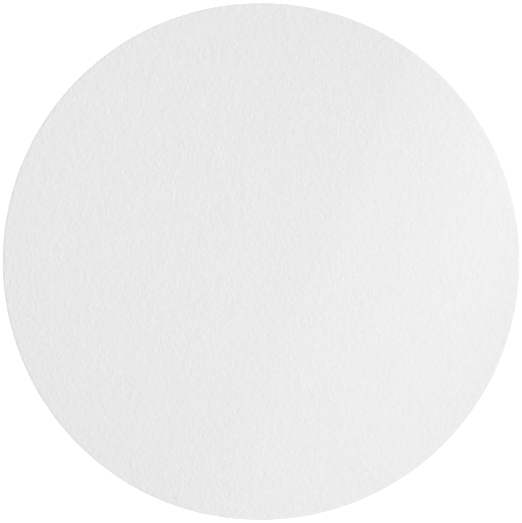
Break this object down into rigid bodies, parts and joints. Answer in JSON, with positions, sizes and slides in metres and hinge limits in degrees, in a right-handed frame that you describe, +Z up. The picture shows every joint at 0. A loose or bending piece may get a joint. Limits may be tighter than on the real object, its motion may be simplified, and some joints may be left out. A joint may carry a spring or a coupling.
{
  "type": "filter paper disc",
  "caption": "Flat round disc of plain white filter paper with a die-cut edge, for lining a laboratory funnel or holder.",
  "frame": {"origin": "centre of the underside, on the surface that the disc lies on", "axes": "+Z up out of the upper face, along the disc's axis; +X and +Y in the plane of the sheet, which is the same in every direction"},
  "size_m": [0.11, 0.11, 0.0002],
  "materials": {
    "filter_paper": "matt, unglazed and faintly fibrous"
  },
  "bodies": {
    "root": {"paper_disc": "filter_paper"}
  },
  "joints": []
}
